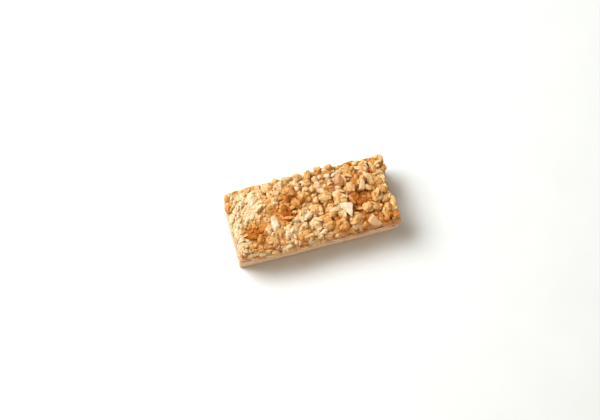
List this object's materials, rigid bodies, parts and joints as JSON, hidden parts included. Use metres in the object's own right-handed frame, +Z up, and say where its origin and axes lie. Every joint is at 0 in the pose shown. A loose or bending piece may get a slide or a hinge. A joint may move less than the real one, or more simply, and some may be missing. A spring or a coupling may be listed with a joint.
{
  "type": "apple cake slice",
  "caption": "Rectangular slice of apple crumble cake: pale baked base, thin cooked apple layer, thick golden streusel top with pale apple and nut pieces.",
  "frame": {"origin": "middle of the slice's flat underside, on the surface it lies on", "axes": "+X along the slice, +Y from its front cut side to its back cut side, +Z up through the layers"},
  "size_m": [0.12, 0.0539, 0.034],
  "materials": {
    "cake_base": "pale baked crumb, matte, with fine pores",
    "apple_filling": "cooked apple, moist, mauve-brown",
    "streusel": "baked streusel, golden to brown, matte and grainy",
    "apple_piece": "dried pale apple, satin",
    "nut_piece": "chopped pale nut, satin"
  },
  "bodies": {
    "root": {"cake_base": "cake_base", "apple_filling": "apple_filling", "streusel": "streusel", "apple_piece_1": "apple_piece", "apple_piece_2": "apple_piece", "apple_piece_3": "apple_piece", "apple_piece_4": "apple_piece", "nut_piece_1": "nut_piece", "nut_piece_2": "nut_piece", "nut_piece_3": "nut_piece", "nut_piece_4": "nut_piece"}
  },
  "joints": []
}
